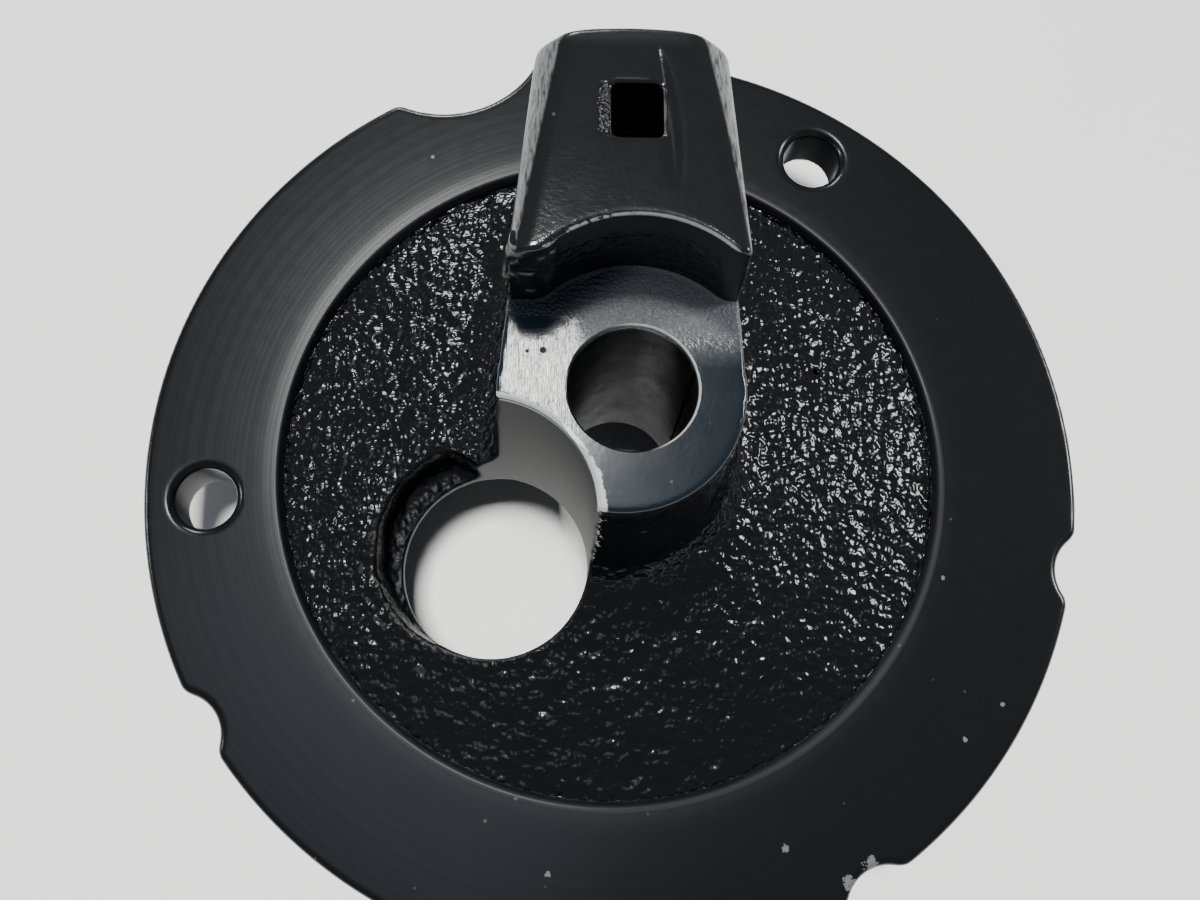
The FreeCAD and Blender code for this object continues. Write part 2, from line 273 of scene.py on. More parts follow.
def screw_hole(y0):
    """Blind hole in the pad, along X."""
    def distance(x, y, z):
        side = np.hypot(y - y0, z - SPRING_Z) - SCREW_R
        return np.maximum(side, PAD_X - SCREW_HOLE_DEPTH - x)
    return distance


def gouge(x, y, z):
    """Long shallow scoop worn beside the square socket."""
    along = np.clip((y - GOUGE_START_Y) / GOUGE_LENGTH, 0, 1)
    half = GOUGE_HALF * np.sqrt(np.clip(along * (1 - along) * 4, 0, 1)) + 0.01
    middle = 2.35 - 1.15 * along + 0.15 * np.sin(np.pi * along)
    return (np.hypot((x - middle) / half, (z - ARM_TOP_Z) / (GOUGE_DEPTH * half)) - 1) * 0.2


def ball(x0, y0, z0, radius):
    """Sphere."""
    return lambda x, y, z: np.sqrt((x - x0) ** 2 + (y - y0) ** 2 + (z - z0) ** 2) - radius


# ------------------------------------------------------------------ surface of the cast iron


def value_noise(points, cell, seed):
    """Smooth random values from -1 to 1 with features about one cell in size, in mm."""
    size = 64
    lattice = np.random.default_rng(seed).uniform(-1, 1, (size, size, size)).astype(np.float32)
    scaled = points / cell + 1000.0
    base = np.floor(scaled).astype(int)
    t = (scaled - base).astype(np.float32)
    t = t * t * (3 - 2 * t)
    total = np.zeros(len(points), np.float32)
    for corner in range(8):
        offset = [(corner >> i) & 1 for i in range(3)]
        weight = np.ones(len(points), np.float32)
        for i in range(3):
            weight *= t[:, i] if offset[i] else 1 - t[:, i]
        index = (base + offset) % size
        total += weight * lattice[index[:, 0], index[:, 1], index[:, 2]]
    return total


def cast_share(points):
    """1 where the surface is left as cast and 0 where it is machined."""
    x, y, z = points.T
    rc = recess_radius(x, y)
    side = block_side(x, y, z)
    front = z > web_back(rc) + 1.5
    floor = front * (z < 9.0) * (rc < RECESS_WALL_R + 0.8)
    hub_wall = (side > -0.5) * (side < 2.0) * (z > 1.0) * (1 - rise(z, 20.6, HUB_FACE_Z - 0.4))
    arm_wall = (side > -0.35) * (side < 2.0) * (y > 6.5) * (z > 1.0) * (1 - rise(z, 27.0, 28.6))
    r = np.hypot(x, y)
    roof = (z < web_back(rc) + 1.0) * (z > -7) * (rc < CUP_IN_R - 0.8) * rise(r, 8.0, 8.8)
    roof = roof * rise(np.hypot(x - WINDOW_X, y - WINDOW_Y), WINDOW_R + 0.8, WINDOW_R + 1.8)
    outside = (r > CUP_IN_R + 2) * (x < PAD_X - 0.3) * (z < -FLANGE_T - 0.6) * (z > CUP_BACK_Z + 0.8)
    return np.maximum.reduce([floor, hub_wall, arm_wall, roof, outside * 0.6])


def cast_relief(points):
    """Lumps of the sand-cast surface, in mm outwards."""
    x, y, z = points.T
    in_pocket = np.hypot(x - POCKET_X, y - POCKET_Y) < POCKET_TOP_R + 0.8
    in_pocket = in_pocket * (z > POCKET_FLOOR_Z - 1) * (z < POCKET_TOP_Z)
    step_corner = (x < -5.2) * (np.abs(y - 6.6) < 1.3) * (z > HUB_FACE_Z + 0.6) * (z < ARM_TOP_Z - 0.3)
    socket_edge = (np.abs(x - SOCKET_X + 2.0) < 0.6) * (np.abs(y - SOCKET_Y) < 1.9) * (z > ARM_TOP_Z - 3)
    lumps = 0.09 * value_noise(points, 1.8, 11) + 0.05 * value_noise(points, 0.85, 12)
    coarse = value_noise(points, 2.2, 13)
    fine = value_noise(points, 0.7, 14)
    return (cast_share(points) * (lumps + 0.14 * coarse * in_pocket)
            + 0.32 * np.abs(fine + 0.5 * coarse) * step_corner - 0.2 * np.abs(fine) * socket_edge)


# ------------------------------------------------------------------ the casting's mesh


def turned_mouth(x0, y0, wall_r, top_z, lip, outer_r, depth):
    """Turned edge of a round opening: a flat face, a rounding of radius lip and a wall below it.

    It is an open sheet. Gives the points, their outward directions and the faces, as arrays.
    """
    arc_steps = 8
    turn_steps = 360
    section = [(outer_r, top_z + EDGE_SKIN, 0.0, 1.0), (wall_r + 2 * lip, top_z + EDGE_SKIN, 0.0, 1.0)]
    for i in range(arc_steps + 1):
        c, s = polar(1, 90 + 90 * i / arc_steps)
        section.append((wall_r + lip + lip * c, top_z - lip + lip * s + EDGE_SKIN, c, s))
    section.append((wall_r, top_z - depth, -1.0, 0.0))
    section = np.array(section)
    turns = np.linspace(0, 2 * np.pi, turn_steps, endpoint=False)
    cos, sin = np.cos(turns)[:, None], np.sin(turns)[:, None]
    r, z, out_r, out_z = section.T
    places = np.stack([x0 + r * cos, y0 + r * sin, z + 0 * cos], 2).reshape(-1, 3)
    normals = np.stack([out_r * cos, out_r * sin, out_z + 0 * cos], 2).reshape(-1, 3)
    index = np.arange(len(places)).reshape(len(turns), len(section))
    after = np.roll(index, -1, axis=0)
    quads = np.stack([index[:, :-1], after[:, :-1], after[:, 1:], index[:, 1:]], 2).reshape(-1, 4)
    return places, normals, quads


class Field:
    """Distance field on a grid of VOXEL steps, with shapes added and cut one after another."""

    def __init__(self, low, high):
        self.low = np.array(low, float)
        counts = np.ceil((np.array(high) - self.low) / VOXEL).astype(int) + 1
        self.axes = [(self.low[i] + VOXEL * np.arange(counts[i])).astype(np.float32) for i in range(3)]
        self.values = np.full(counts, 100.0, np.float32)

    def window(self, region):
        """Slices and coordinate arrays of the part of the grid inside ((x, x), (y, y), (z, z))."""
        slices = []
        for axis, limits in zip(self.axes, region):
            first, last = np.searchsorted(axis, limits)
            slices.append(slice(max(first - 1, 0), last + 1))
        x, y, z = (axis[s] for axis, s in zip(self.axes, slices))
        return tuple(slices), x[:, None, None], y[None, :, None], z[None, None, :]

    def add(self, shape, k, *region):
        """Joins a shape on, rounded over a width k, inside a region."""
        at, x, y, z = self.window(region)
        self.values[at] = smooth_min(self.values[at], shape(x, y, z), k)

    def cut(self, shape, k, *region):
        """Takes a shape away, rounded over a width k, inside a region."""
        at, x, y, z = self.window(region)
        self.values[at] = smooth_max(self.values[at], -shape(x, y, z), k)

    def roughen(self, relief):
        """Moves the surface outwards by relief(points), near the surface only."""
        near = np.nonzero(np.abs(self.values) < BAND + 0.5)
        points = np.stack([axis[i] for axis, i in zip(self.axes, near)], 1)
        self.values[near] -= relief(points).astype(np.float32)

    def sample(self, places):
        """Values at any places, in grid steps."""
        base = np.clip(np.floor(places).astype(int), 0, np.array(self.values.shape) - 2)
        t = places - base
        total = np.zeros(len(places))
        for corner in range(8):
            offset = [(corner >> i) & 1 for i in range(3)]
            weight = np.prod([t[:, i] if offset[i] else 1 - t[:, i] for i in range(3)], axis=0)
            index = base + offset
            total += weight * self.values[index[:, 0], index[:, 1], index[:, 2]]
        return total

    def normals(self, places):
        """Outward directions of the surface, from the field's slope."""
        slope = []
        for i in range(3):
            step = np.zeros(3)
            step[i] = 0.6
            slope.append(self.sample(places + step) - self.sample(places - step))
        slope = np.stack(slope, 1)
        return slope / np.maximum(np.linalg.norm(slope, axis=1, keepdims=True), 1e-9)

    def mesh(self, name, turned_parts):
        """Mesh of the zero surface with smooth normals, and of the turned parts."""
        self.values = np.clip(self.values, -BAND, BAND)
        grid = openvdb.FloatGrid(BAND)
        grid.copyFromArray(self.values)
        points, triangles, quads = grid.convertToPolygons(isovalue=0.0, adaptivity=0.0)
        places = points * VOXEL + self.low
        normals = self.normals(points)
        for more_places, more_normals, more_quads in turned_parts:
            quads = np.concatenate([quads, more_quads + len(places)])
            places = np.concatenate([places, more_places])
            normals = np.concatenate([normals, more_normals])
        data = bpy.data.meshes.new(name)
        data.vertices.add(len(places))
        data.vertices.foreach_set("co", (places * MM).astype(np.float32).ravel())
        corners = np.concatenate([triangles.ravel(), quads.ravel()]).astype(np.int32)
        sizes = np.concatenate([np.full(len(triangles), 3), np.full(len(quads), 4)])
        starts = np.concatenate([[0], np.cumsum(sizes)[:-1]]).astype(np.int32)
        data.loops.add(len(corners))
        data.loops.foreach_set("vertex_index", corners)
        data.polygons.add(len(starts))
        data.polygons.foreach_set("loop_start", starts)
        data.update(calc_edges=True)
        data.shade_smooth()
        data.normals_split_custom_set_from_vertices(normals.tolist())
        return data


def around(x0, y0, reach):
    """Square in plan round a place."""
    return (x0 - reach, x0 + reach), (y0 - reach, y0 + reach)


def add_body(field):
    """Flange, web, hub, arm, cup and pad, as they are before the casting marks."""
    flat = (*around(0, 0, 41), (-8.5, 8.0))
    behind = around(0, 0, 24)
    field.add(ring(RECESS_R - 4, FLANGE_R, -FLANGE_T, 0, FLANGE_EDGE), 0.01, *flat)
    for degrees, radius, least_r in RIM_SCALLOPS:
        x0, y0 = polar(least_r + radius, degrees)
        field.cut(upright(x0, y0, radius), 0.7, *around(x0, y0, radius + 1.5), (-6.5, 1.5))
    field.cut(recess, 0.02, *flat)
    field.add(web, 0.3, *flat)
    field.add(block, FOOT_BLEND, (-19, 18), (-18, 30), (-3, ABOVE_ARM))
    field.cut(chamber_roof, 0.2, *behind, (-9, 3))
    field.cut(hub_step, 0.2, *around(0, 0, 12), (20, ABOVE_ARM))
    for side in (-1, 1):
        field.cut(beyond_bevel(side), 0.7, (-12, 12), (4.5, 25), (24, ABOVE_ARM))
    cup = ring(CUP_IN_R, CUP_IN_R + CUP_WALL, CUP_BACK_Z, -FLANGE_T + 2, CUP_EDGE)
    field.add(cup, 0.6, *around(0, 0, 28), (-17, -2))
    pad = box((CUP_IN_R + 1, -PAD_HALF_Y, PAD_Z_LOW), (PAD_X, PAD_HALF_Y, PAD_Z_HIGH), PAD_EDGE)
    field.add(pad, 0.5, (22.5, 29), (-13, 13), (-16.5, -3.5))
    field.cut(chamber, 0.3, *behind, (-17, -4))
    field.cut(pocket, 0.5, (-22.5, -1), (-18, 3.5), (-5, 4))


def machine_body(field):
    """What is machined into the rough casting, and its worn spots."""
    window = upright(WINDOW_X, WINDOW_Y, WINDOW_R)
    field.cut(window, 0.12, *around(WINDOW_X, WINDOW_Y, WINDOW_R + 1.5), (-8, 31))
    field.cut(upright(0, 0, BUSH_R), 0.04, *around(0, 0, 7), (-3, 24))
    socket = box((SOCKET_X - SOCKET_W / 2, SOCKET_Y - SOCKET_L / 2, ARM_TOP_Z - SOCKET_DEPTH),
                 (SOCKET_X + SOCKET_W / 2, SOCKET_Y + SOCKET_L / 2, ARM_TOP_Z + 2), 0.5)
    field.cut(socket, 0.15, (-3, 3), (13, 20), (18, ABOVE_ARM))
    field.cut(gouge, 0.06, (0, 4.5), (10, 21.5), (29, 31.4))
    for degrees in HOLE_DEGS:
        x0, y0 = polar(HOLE_PCR, degrees)
        field.cut(flange_hole(x0, y0), 0.2, *around(x0, y0, 4.5), (-6.5, 1.5))
    slit = box((CUP_IN_R - 3, SLIT_Y - SLIT_W / 2, -20),
               (PAD_X + 3, SLIT_Y + SLIT_W / 2, SLIT_TOP_Z), 0.1)
    field.cut(slit, 0.25, (19, 29), (3, 7.5), (-17, -7))
    for y0 in (ANCHOR_Y, ADJUST_Y):
        field.cut(screw_hole(y0), 0.1, (21, 29), (y0 - 2.5, y0 + 2.5), (-13, -7.8))
    x0, y0, z0 = WEB_PIT
    field.cut(ball(x0, y0, z0, WEB_PIT_R), 0.15, *around(x0, y0, 1), (z0 - 1, z0 + 1))


def build_casting():
    """The whole casting as one mesh."""
    field = Field(GRID_LOW, GRID_HIGH)
    add_body(field)
    field.roughen(cast_relief)
    machine_body(field)
    bore = turned_mouth(0, 0, BORE_R, HUB_FACE_Z, LIP_EDGE, BUSH_R + 0.5, HUB_FACE_Z - LIP_Z)
    inner_edge = turned_mouth(RECESS_X, RECESS_Y, RECESS_WALL_R, 0, RECESS_LIP, RECESS_R + 2.5, 1.6)
    return field.mesh("case_casting", (bore, inner_edge))


def bush_liner():
    """The bush inside the hub as a thin C-shaped tube, open at its seam."""
    steps = 96
    gap, chamfer = 0.02, 0.1
    seam_half = math.degrees(BUSH_SEAM / 2 / BORE_R)
    start, end = BUSH_SEAM_DEG + seam_half, BUSH_SEAM_DEG + 360 - seam_half
    outer = BUSH_R - gap
    section = ((BORE_R, HUB_BACK_Z + chamfer), (BORE_R + chamfer, HUB_BACK_Z), (outer, HUB_BACK_Z),
               (outer, LIP_Z - gap), (BORE_R, LIP_Z - gap))
    rings = []
    for i in range(steps + 1):
        c, s = polar(1, start + (end - start) * i / steps)
        rings.append([(r * c * MM, r * s * MM, z * MM) for r, z in section])
    count = len(section)
    faces = [list(range(count))[::-1], [steps * count + j for j in range(count)]]
    for i in range(steps):
        for j in range(count):
            a, b = i * count + j, i * count + (j + 1) % count
            faces.append((a, b, b + count, a + count))
    data = bpy.data.meshes.new("hub_bush_liner")
    data.from_pydata([p for r in rings for p in r], [], faces)
    data.shade_smooth()
    data.set_sharp_from_angle(angle=math.radians(30))
    return data


# ------------------------------------------------------------------ materials


class Num:
    """A number in a node tree; arithmetic on it adds math nodes."""

    def __init__(self, tree, socket):
        self.tree, self.socket = tree, socket

    def math(self, operation, *others):
        node = self.tree.nodes.new("ShaderNodeMath")
        node.operation = operation
        for slot, value in zip(node.inputs, (self, *others)):
            if isinstance(value, Num):
                self.tree.links.new(value.socket, slot)
            else:
                slot.default_value = value
        return Num(self.tree, node.outputs[0])

    def __add__(self, other):
        return self.math("ADD", other)

    def __sub__(self, other):
        return self.math("SUBTRACT", other)

    def __mul__(self, other):
        return self.math("MULTIPLY", other)

    def __neg__(self):
        return self.math("MULTIPLY", -1.0)

    __radd__, __rmul__ = __add__, __mul__

    def __rsub__(self, other):
        return -self + other

    def rise(self, low, high, bottom=0.0, top=1.0):
        """bottom below low, top above high and smooth between them."""
        node = self.tree.nodes.new("ShaderNodeMapRange")
        node.interpolation_type = "SMOOTHSTEP"
        for name, value in (("From Min", low), ("From Max", high), ("To Min", bottom), ("To Max", top)):
            node.inputs[name].default_value = value
        self.tree.links.new(self.socket, node.inputs["Value"])
        return Num(self.tree, node.outputs[0])

    def fall(self, low, high):
        """1 below low, 0 above high and smooth between them."""
        return self.rise(low, high, 1.0, 0.0)

    def hypot(self, other):
        return (self * self + other * other).math("SQRT")


def largest(numbers):
    """Largest of several numbers."""
    return reduce(lambda a, b: a.math("MAXIMUM", b), numbers)


class Material:
    """A Principled material with places measured in mm on the object."""

    def __init__(self, name, **uniform):
        self.data = bpy.data.materials.new(name)
        self.data.use_nodes = True
        self.nodes, self.links = self.data.node_tree.nodes, self.data.node_tree.links
        self.shader = self.nodes["Principled BSDF"]
        for socket, value in uniform.items():
            self.shader.inputs[socket.replace("_", " ")].default_value = value
        place = self.nodes.new("ShaderNodeTexCoord").outputs["Object"]
        scale = self.nodes.new("ShaderNodeVectorMath")
        scale.operation = "SCALE"
        scale.inputs["Scale"].default_value = 1 / MM
        self.links.new(place, scale.inputs[0])
        self.place = scale.outputs[0]
        self.x, self.y, self.z = self.split(self.place)
        self.normal = self.split(self.nodes.new("ShaderNodeNewGeometry").outputs["Normal"])

    def split(self, socket):
        """The three numbers of a vector or a colour."""
        node = self.nodes.new("ShaderNodeSeparateXYZ")
        self.links.new(socket, node.inputs[0])
        return [Num(self.data.node_tree, out) for out in node.outputs]

    def at(self, x, y, z):
        """Vector from three numbers."""
        node = self.nodes.new("ShaderNodeCombineXYZ")
        for slot, value in zip(node.inputs, (x, y, z)):
            if isinstance(value, Num):
                self.links.new(value.socket, slot)
            else:
                slot.default_value = value
        return node.outputs[0]

    def noise(self, per_mm, detail, rough, place=None):
        """Noise from 0 to 1 with so many features in a mm."""
        node = self.nodes.new("ShaderNodeTexNoise")
        for name, value in (("Scale", per_mm), ("Detail", detail), ("Roughness", rough)):
            node.inputs[name].default_value = value
        self.links.new(place or self.place, node.inputs["Vector"])
        return Num(self.data.node_tree, node.outputs[0])

    def cells(self, per_mm):
        """Distance to the nearest of random points, and a random number for each point."""
        node = self.nodes.new("ShaderNodeTexVoronoi")
        node.inputs["Scale"].default_value = per_mm
        self.links.new(self.place, node.inputs["Vector"])
        return Num(self.data.node_tree, node.outputs["Distance"]), self.split(node.outputs["Color"])[0]

    def colour(self, share, low, high):
        """Base colour that goes from low to high with share."""
        node = self.nodes.new("ShaderNodeMix")
        node.data_type = "RGBA"
        self.links.new(share.socket, node.inputs[0])
        for slot, value in ((node.inputs[6], low), (node.inputs[7], high)):
            if isinstance(value, tuple):
                slot.default_value = (*value, 1)
            else:
                self.links.new(value, slot)
        return node.outputs[2]

    def drive(self, name, value):
        """Links a number or a colour to one of the shader's inputs."""
        self.links.new(value.socket if isinstance(value, Num) else value, self.shader.inputs[name])

    def bump(self, height_mm):
        """Relief in mm."""
        node = self.nodes.new("ShaderNodeBump")
        node.inputs["Distance"].default_value = MM
        self.links.new(height_mm.socket, node.inputs["Height"])
        self.links.new(node.outputs[0], self.shader.inputs["Normal"])


def enamel_zones(m):
    """Shares from 0 to 1 of the casting's regions, and the noises that several of them use."""
    x, y, z = m.x, m.y, m.z
    nx, _, nz = m.normal
    zone = SimpleNamespace()
    zone.r = x.hypot(y)
    zone.rc = (x - RECESS_X).hypot(y - RECESS_Y)
    zone.window_r = (x - WINDOW_X).hypot(y - WINDOW_Y)
    zone.front = nz.rise(0.2, 0.6)
    zone.flange = zone.rc.rise(RECESS_WALL_R - 0.1, RECESS_WALL_R + 0.1)
    zone.flange = zone.flange * z.rise(-0.75, -0.55) * z.fall(0.3, 0.8)
    zone.up_to_face = z.fall(HUB_FACE_Z + 0.1, HUB_FACE_Z + 0.3)
    zone.hub_face = z.rise(HUB_FACE_Z - 0.9, HUB_FACE_Z - 0.5) * zone.up_to_face
    zone.arm_top = z.rise(ARM_TOP_Z - 0.35, ARM_TOP_Z - 0.1)
    zone.bevel = z.rise(ARM_TOP_Z - 5, ARM_TOP_Z - 4) * (1 - zone.arm_top)
    zone.bevel = zone.bevel * nz.rise(0.35, 0.5) * (nx * nx).rise(0.15, 0.25)
    zone.window_wall = zone.window_r.fall(WINDOW_R + 0.1, WINDOW_R + 0.4)
    zone.under = z.fall(-5.3, -4.9)

    floor = zone.rc.fall(RECESS_WALL_R - 0.05, RECESS_WALL_R) * z.fall(9.0, 11.0) * z.rise(-4.5, -3.5)
    steep = nz.fall(0.5, 0.8)
    wall = z.rise(2.0, 4.0) * z.fall(HUB_FACE_Z - 2.0, HUB_FACE_Z - 0.6) * steep
    arm_wall = z.rise(2.0, 4.0) * y.rise(6.5, 7.5) * z.fall(ARM_TOP_Z - 3.2, ARM_TOP_Z - 2.0) * steep
    zone.cast = largest([floor, wall, arm_wall]) * (1 - zone.window_wall)

    zone.peel = m.noise(2.6, 2.0, 0.6)
    zone.edge = m.noise(2.2, 3.0, 0.6)
    zone.bevel_streaks = m.noise(1.0, 3.0, 0.65, m.at(x * 5.0, y * 0.7, z * 5.0))
    zone.polished = zone.hub_face * x.fall(-4.6, -3.0) * y.fall(4.6, 5.4)
    # Beside the spot face's wall: the base colour paints light here, where the wall shades the face.
    zone.near_wall = zone.hub_face * (y + (zone.peel - 0.5) * 1.2).rise(1.2, 5.2) * (1 - zone.polished)
    # Painted shade: the face's corner at the wall's left end is left dark, as the wall's shade.
    zone.wall_corner = (x * 0.8 - y).fall(-10.0, -7.0) * y.rise(3.6, 4.8)
    socket_side = (x - SOCKET_X + 2.1 + (zone.edge - 0.5) * 0.7).math("ABSOLUTE").fall(0.30, 0.5)
    zone.beside_socket = socket_side * (y - SOCKET_Y).math("ABSOLUTE").fall(1.5, 1.9) * zone.arm_top
    return zone


def enamel_relief(m, zone):
    """Height in mm: pebbles of the sand casting, turned rings, grinding marks and orange peel."""
    x, y, z = m.x, m.y, m.z
    pebble = m.noise(1.3, 1.0, 0.4)
    calmer_front = y.rise(-26.0, -12.0, 0.75, 1.0)
    relief = zone.cast * (pebble - 0.5) * calmer_front * 0.32
    rings = m.noise(1.0, 1.0, 0.5, m.at(zone.rc * 1.6, 0.0, 0.0))
    relief += zone.flange * (rings - 0.5) * 0.006
    roll = (30.6 - zone.rc).math("MAXIMUM", 0.0)
    relief -= zone.flange * roll * roll * 0.010
    streaks = m.noise(1.0, 2.0, 0.6, m.at(x * 14.0, y * 0.5, z * 0.5))
    relief += zone.polished * (streaks - 0.5) * 0.010
    relief += (zone.hub_face * 0.004 + zone.arm_top * 0.008 + zone.under * 0.02) * (zone.peel - 0.5)
    grain = m.noise(4.0, 2.0, 0.6)
    relief += zone.near_wall * zone.near_wall * (grain - 0.5) * 0.14
    scab = m.noise(3.2, 2.0, 0.6)
    relief += zone.beside_socket * (scab - 0.5) * 0.18
    relief += zone.bevel * (zone.bevel_streaks - 0.5) * 0.05
    return relief


def enamel_wear_and_highlights(m, zone):
    """Shares of chips and paint specks, of bright edges and of small dark pits. The bright edges are
    painted highlights on the arm's front edge and on the bore's rim, and worn enamel along the window
    painted as bright as a highlight.
    """
    x, y, z = m.x, m.y, m.z
    speck_distance, speck_random = m.cells(0.38)
    speck = speck_distance.fall(0.03, 0.07) * speck_random.rise(0.8, 0.82)
    speck = speck * zone.front * (1 - zone.cast)
    chips = largest([((x - x0).hypot(y - y0) * (1 / radius) + zone.edge * 1.6).fall(1.25, 1.4)
                     for x0, y0, radius in CHIPS])
    worn = chips * zone.front * z.rise(-1.5, -0.8)

    # Worn enamel along the window's edge on the hub's face, painted as bright as a highlight.
    ragged = zone.window_r + (m.noise(1.6, 3.0, 0.6) - 0.5) * 0.7 - y.fall(-6.5, -4.5) * 0.25
    window_edge = ragged.fall(WINDOW_R + 0.32, WINDOW_R + 0.46) * z.rise(HUB_FACE_Z - 0.5, HUB_FACE_Z - 0.3)
    window_edge = window_edge * zone.up_to_face * m.normal[2].rise(0.1, 0.4)
    past_step = zone.r - SPOT_FACE_R
    # Painted highlight along the arm's front edge, brighter towards the right.
    arm_edge = past_step.rise(-0.06, 0.0) * past_step.fall(0.10, 0.22) * zone.arm_top
    arm_edge = arm_edge * (zone.edge + x * 0.03).rise(0.30, 0.42) * 0.5
    # Painted highlight on the bore's rim, on its right side only.
    bore_edge = zone.r.fall(BORE_R + 0.10, BORE_R + 0.16) * z.rise(HUB_FACE_Z - 0.20, HUB_FACE_Z - 0.12)
    bore_edge = bore_edge * zone.up_to_face * (x + y * 0.3).rise(-0.5, 1.8)

    seam_nick = (*polar(BORE_R + 0.12, BUSH_SEAM_DEG), 0.2)
    pits = largest([(x - x0).hypot(y - y0).fall(radius * 0.7, radius * 1.3)
                    for x0, y0, radius in (*FACE_PITS, seam_nick)])
    return SimpleNamespace(light=worn.math("MAXIMUM", speck * 0.4),
                           worn_and_highlit_edge=largest([window_edge, arm_edge, bore_edge]),
                           pits=pits * zone.hub_face)


def enamel_colour(m, zone, wear_and_highlights):
    """Base colour, from the black enamel up to bare iron, with painted light and painted shade on the hub's
    face and painted highlights on edges.
    """
    black = m.colour(m.noise(0.09, 3.0, 0.6), ENAMEL_DARK, ENAMEL_LIGHT)
    # Painted light: the hub's face is a lighter grey beside the spot face's wall, which shades it. Painted
    # shade keeps the corner at the wall's left end dark.
    face = m.colour(zone.near_wall * (1 - zone.wall_corner), FACE_ENAMEL, FACE_NEAR_WALL_PAINTED_LIGHT)
    satin = m.colour(zone.hub_face * (1 - wear_and_highlights.pits), black, face)
    grey = zone.flange * m.z.fall(-0.5, -0.1) * 0.6 + zone.arm_top * 0.5 * (1 - zone.beside_socket)
    greyed = m.colour(grey, satin, SATIN_GREY)
    ground = m.colour(zone.bevel * zone.bevel_streaks.rise(0.3, 0.6), greyed, GROUND_IRON)
    chipped = m.colour(wear_and_highlights.light, ground, CHIPPED)
    # Near-white edges: painted highlights, and worn enamel along the window painted as bright.
    return m.colour(wear_and_highlights.worn_and_highlit_edge, chipped, WORN_EDGE_AND_HIGHLIGHT)


def enamel_roughness(m, zone, wear_and_highlights):
    """Roughness: glossy as cast, satin where it is machined and dull where it is worn."""
    x, y, z = m.x, m.y, m.z
    rough = 0.23 * zone.flange + 0.17 * zone.cast
    rough += zone.hub_face * (0.15 - zone.polished * 0.03 + zone.near_wall * (1 - zone.wall_corner) * 0.12)
    rough += zone.arm_top * y.rise(20.8, 22.0, 0.11, 0.25) + 0.35 * zone.bevel + 0.30 * zone.under
    named = zone.flange + zone.cast + zone.hub_face + zone.arm_top + zone.bevel + zone.under
    rough += (1 - named.math("MINIMUM", 1.0)) * 0.30
    in_pocket = (x - POCKET_X).hypot(y - POCKET_Y).fall(POCKET_TOP_R - 0.2, POCKET_TOP_R + 0.3)
    rough += in_pocket * z.fall(1.5, 2.5) * (1 - zone.window_wall) * zone.cast * 0.25
    inner_edge = zone.flange * zone.rc.fall(RECESS_R - 0.1, RECESS_R + 0.3)
    rough += inner_edge * (0.12 + (x - y).rise(18.0, 32.0) * 0.20)
    rough += zone.window_wall * (1 - zone.hub_face) * 0.25 + wear_and_highlights.light * 0.3 + wear_and_highlights.pits * 0.5
    return rough + (m.noise(0.7, 3.0, 0.6) - 0.5) * 0.05


def black_enamel():
    """Baked black enamel on cast iron: pebbled and glossy as cast, satin where it is machined."""
    m = Material("black_enamel", IOR=1.5)
    zone = enamel_zones(m)
    wear_and_highlights = enamel_wear_and_highlights(m, zone)
    m.drive("Base Color", enamel_colour(m, zone, wear_and_highlights))
    m.drive("Roughness", enamel_roughness(m, zone, wear_and_highlights))
    m.bump(enamel_relief(m, zone))
    return m.data


def steel(name, base, rough, along, grazing=1.0):
    """Machined or rolled steel with fine marks along one axis; grazing dims its low reflections."""
    m = Material(name, Metallic=1.0, Specular_Tint=(grazing, grazing, grazing, 1.0))
    marks_across, marks_along = 12.0, 0.8
    stretch = [marks_across] * 3
    stretch[along] = marks_along
    marks = m.noise(1.0, 3.0, 0.6, m.at(m.x * stretch[0], m.y * stretch[1], m.z * stretch[2]))
    stain = m.noise(0.5, 4.0, 0.6)
    dark = tuple(0.55 * c for c in base)
    m.drive("Base Color", m.colour(stain.rise(0.35, 0.7), base, dark))
    m.drive("Roughness", rough + (marks - 0.5) * 0.2 + (stain - 0.5) * 0.15)
    m.bump((marks - 0.5) * 0.01)
    return m.data


def table_top():
    """Plain pale paper-like table."""
    m = Material("table", Roughness=0.75)
    blotch = m.noise(0.03, 3.0, 0.6)
    m.drive("Base Color", m.colour(blotch, (0.79, 0.79, 0.785), (0.84, 0.84, 0.835)))
    m.bump((m.noise(2.0, 3.0, 0.6) - 0.5) * 0.05)
    return m.data


# ------------------------------------------------------------------ pieces


def add_piece(name, mesh, slot, material, *nodes):
    """Adds a visual piece that rides on the case and stands for CAD nodes."""
    piece = bpy.data.objects.new(name, mesh)
    bpy.context.scene.collection.objects.link(piece)
    mesh.materials.append(material)
    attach(piece, "case")
    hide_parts(*nodes)


def finish_node(node, material):
    """Puts a material on a CAD node that keeps its own mesh."""
    target = bpy.data.objects[node]
    target.data.materials.clear()
    target.data.materials.append(material)


add_piece("case_casting", build_casting(), "black_enamel", black_enamel(), "case_body")
bush_steel = steel("bush_steel", (0.10, 0.10, 0.102), 0.34, 2, 0.45)
add_piece("hub_bush_liner", bush_liner(), "bush_steel", bush_steel, "hub_bush")
finish_node("tension_spring", steel("spring_steel", (0.42, 0.43, 0.45), 0.25, 1))
screw_steel = steel("screw_steel", (0.30, 0.30, 0.31), 0.35, 0)
finish_node("tension_screw", screw_steel)
finish_node("spring_screw", screw_steel)


# ------------------------------------------------------------------ table, light and camera


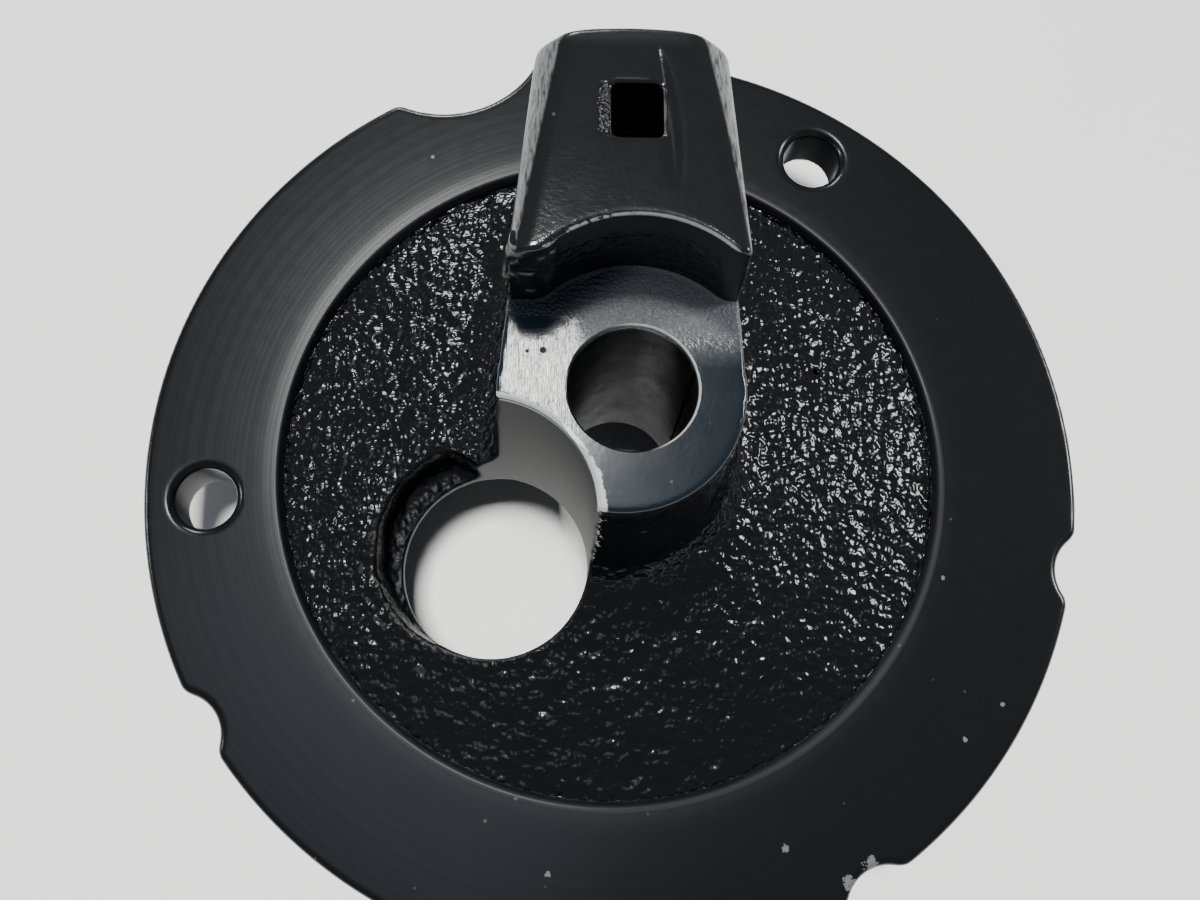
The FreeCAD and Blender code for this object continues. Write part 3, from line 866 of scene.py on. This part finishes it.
def soft_light(name, place, size, radiance, lit, colour=(1.0, 1.0, 1.0)):
    """Rectangular soft light of a given radiance, aimed at the hub, that lights one collection."""
    data = bpy.data.lights.new(name, "AREA")
    data.shape = "RECTANGLE"
    data.size, data.size_y = size
    data.energy = radiance * math.pi * size[0] * size[1]
    data.color = colour
    light = bpy.data.objects.new(name, data)
    bpy.context.scene.collection.objects.link(light)
    light.location = place
    light.rotation_euler = (-Vector(place)).to_track_quat("-Z", "Y").to_euler()
    light.light_linking.receiver_collection = lit
    light.visible_camera = False


def group(name, *objects):
    """Collection that only says what a light reaches."""
    lit = bpy.data.collections.new(name)
    for item in objects:
        lit.objects.link(item)
    return lit


def aimed(azimuth, elevation, distance):
    """Place at a direction and a distance from the hub."""
    flat = distance * math.cos(math.radians(elevation))
    x, y = polar(flat, azimuth)
    return x, y, distance * math.sin(math.radians(elevation))


def add_table():
    """Plain table under the back of the cup."""
    size = 3.0
    data = bpy.data.meshes.new("table")
    z = CUP_BACK_Z * MM
    corners = [(-size, -size, z), (size, -size, z), (size, size, z), (-size, size, z)]
    data.from_pydata(corners, [], [(0, 1, 2, 3)])
    table = bpy.data.objects.new("table", data)
    bpy.context.scene.collection.objects.link(table)
    data.materials.append(table_top())
    return table


def add_camera():
    """Close view from above the front of the flange, looking a little past the hub."""
    camera = bpy.data.objects.new("camera", bpy.data.cameras.new("camera"))
    bpy.context.scene.collection.objects.link(camera)
    camera.data.sensor_width = CAMERA_SENSOR
    camera.data.lens = CAMERA_LENS
    camera.data.clip_start = 0.01
    forward = Vector(CAMERA_FORWARD).normalized()
    right = forward.cross(Vector(CAMERA_UP)).normalized()
    up = right.cross(forward)
    turn = Matrix((right, up, -forward)).transposed().to_4x4()
    turn.translation = Vector(CAMERA_PLACE) * MM
    camera.matrix_world = turn
    bpy.context.scene.camera = camera


def add_world(colour, strength):
    """Even light from all round."""
    world = bpy.data.worlds.new("room")
    world.use_nodes = True
    background = world.node_tree.nodes["Background"]
    background.inputs["Color"].default_value = (*colour, 1)
    background.inputs["Strength"].default_value = strength
    bpy.context.scene.world = world


# The lamp over the table lights the table alone, and the room's lights light the case alone.
table = add_table()
add_world((0.88, 0.96, 1.06), 0.25)
on_table = group("lit_by_table_lamp", table)
on_case = group("lit_by_room", *[o for o in bpy.context.scene.objects if o.type == "MESH" and o != table])
soft_light("table_lamp", (-0.030, -0.004, 0.50), (0.08, 0.08), 290.0, on_table, (1.0, 0.995, 0.98))
soft_light("ceiling_lamp", (-0.035, 0.195, 0.60), (0.070, 0.075), 90.0, on_case, (1.0, 0.99, 0.97))
soft_light("ceiling", (-0.07, 0.06, 0.60), (0.28, 0.30), 0.8, on_case, (0.82, 0.97, 1.12))
soft_light("window_right", aimed(18, 34, 0.7), (0.19, 0.13), 32.0, on_case)
soft_light("window_back", aimed(100, 28, 0.7), (0.20, 0.10), 30.0, on_case)
soft_light("window_left", aimed(172, 28, 0.7), (0.12, 0.09), 22.0, on_case)
add_camera()
